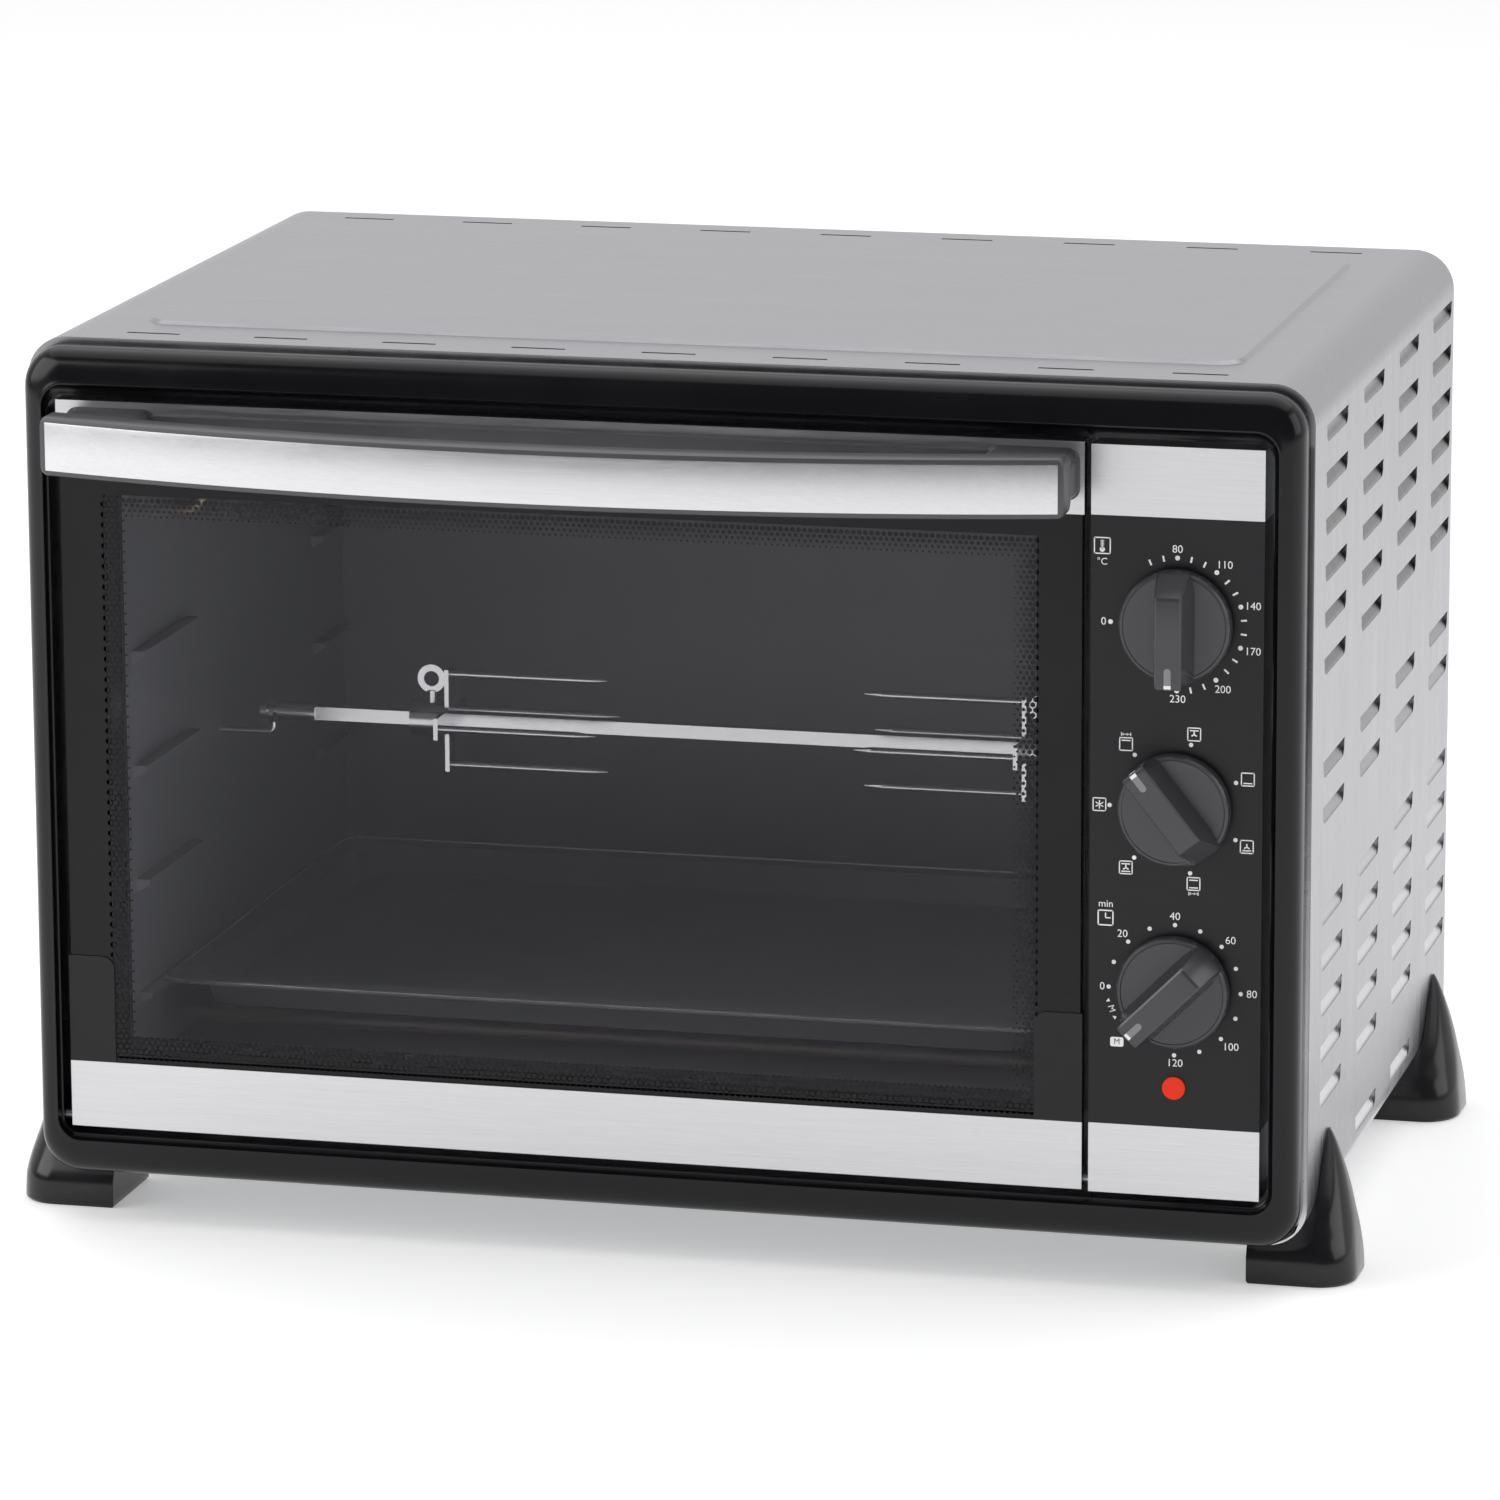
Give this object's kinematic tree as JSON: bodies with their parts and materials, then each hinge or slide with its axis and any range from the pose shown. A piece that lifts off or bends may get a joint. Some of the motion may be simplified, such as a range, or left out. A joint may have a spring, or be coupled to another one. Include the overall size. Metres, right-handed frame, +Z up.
{
  "type": "rotisserie oven",
  "caption": "Countertop rotisserie oven with a drop-down glass door, bowed handle, rotary dials, turning spit with forks, side fan and louvred brushed steel casing.",
  "frame": {"origin": "on the surface the feet stand on, under the middle of the whole object", "axes": "+X to the right seen from the front, +Y towards the back, +Z up"},
  "size_m": [0.6048, 0.4462, 0.3967],
  "materials": {
    "brushed_casing": "brushed, satin",
    "galvanised": "zinc plated sheet, satin",
    "frame_black": "satin black",
    "cavity_grey": "grey non-stick coating",
    "silicone": "matte",
    "tray_enamel": "dark enamel",
    "ceramic": "unglazed",
    "chrome": "bright plated",
    "element_steel": "oxidised sheath",
    "fan_aluminium": "satin",
    "panel_black": "finely brushed black",
    "brushed_trim": "brushed lengthwise",
    "knob_grey": "satin dark grey",
    "switch_plastic": "matte",
    "lamp_red": "lit red lens",
    "door_black": "gloss black",
    "glass": "clear with a printed black border",
    "handle_grey": "satin dark grey",
    "foot_black": "satin black"
  },
  "bodies": {
    "housing": {"outer_casing": "brushed_casing", "base_pan": "galvanised", "rear_panel": "galvanised", "cord_gland": "switch_plastic", "casing_screws": "galvanised", "front_frame": "frame_black", "front_plate": "galvanised", "cavity_left_wall": "cavity_grey", "cavity_right_wall": "cavity_grey", "cavity_floor": "cavity_grey", "cavity_ceiling": "cavity_grey", "cavity_back": "cavity_grey", "door_seal": "silicone", "drip_tray": "tray_enamel", "element_insulators": "ceramic", "spit_support_hook": "chrome", "spit_motor": "galvanised", "fan_cover": "fan_aluminium", "fan_motor": "galvanised", "control_panel": "panel_black", "panel_top_trim": "brushed_trim", "panel_bottom_trim": "brushed_trim", "thermostat": "galvanised", "function_switch": "switch_plastic", "timer_mechanism": "switch_plastic", "indicator_lamp": "lamp_red", "hinge_pin_left": "galvanised", "hinge_pin_right": "galvanised", "hinge_bracket": "galvanised", "foot_front_left": "foot_black", "foot_front_right": "foot_black", "foot_rear_left": "foot_black", "foot_rear_right": "foot_black", "upper_heating_element_front": "element_steel", "lower_heating_element_front": "element_steel", "upper_heating_element_rear": "element_steel", "lower_heating_element_rear": "element_steel"},
    "door": {"door_frame": "door_black", "door_glass": "glass", "door_top_trim": "brushed_trim", "door_bottom_trim": "brushed_trim", "door_corner_plate_left": "door_black", "door_corner_plate_right": "door_black", "handle_body": "handle_grey", "handle_face": "brushed_trim", "handle_screws": "galvanised"},
    "temperature_dial": {"temperature_knob": "knob_grey", "temperature_shaft": "galvanised"},
    "function_dial": {"function_knob": "knob_grey", "function_shaft": "galvanised"},
    "timer_dial": {"timer_knob": "knob_grey", "timer_shaft": "galvanised"},
    "spit": {"spit_rod": "chrome", "spit_fork_left": "chrome", "spit_fork_right": "chrome", "fork_screw_left": "chrome", "fork_screw_right": "chrome", "spit_drive_socket": "chrome"},
    "fan": {"convection_fan": "fan_aluminium"}
  },
  "joints": [
    {"name": "door_hinge", "type": "hinge", "parent": "housing", "child": "door", "pos_m": [0, -0.1559, 0.0475], "axis": [1, 0, 0], "range_deg": [0, 82], "stiffness_Nm_per_rad": 1.2, "springref_deg": -40.11},
    {"name": "temperature_turn", "type": "hinge", "parent": "housing", "child": "temperature_dial", "pos_m": [0.2286, -0.1609, 0.2932], "axis": [0, 1, 0], "range_deg": [-270, 0]},
    {"name": "function_turn", "type": "hinge", "parent": "housing", "child": "function_dial", "pos_m": [0.2286, -0.1609, 0.2137], "axis": [0, 1, 0], "continuous": true},
    {"name": "timer_turn", "type": "hinge", "parent": "housing", "child": "timer_dial", "pos_m": [0.2286, -0.1609, 0.1342], "axis": [0, 1, 0], "range_deg": [0, 315]},
    {"name": "spit_turn", "type": "hinge", "parent": "housing", "child": "spit", "pos_m": [0, -0.0044, 0.2005], "axis": [1, 0, 0], "continuous": true},
    {"name": "fan_spin", "type": "hinge", "parent": "housing", "child": "fan", "pos_m": [0.171, 0.07858, 0.214], "axis": [1, 0, 0], "continuous": true}
  ]
}
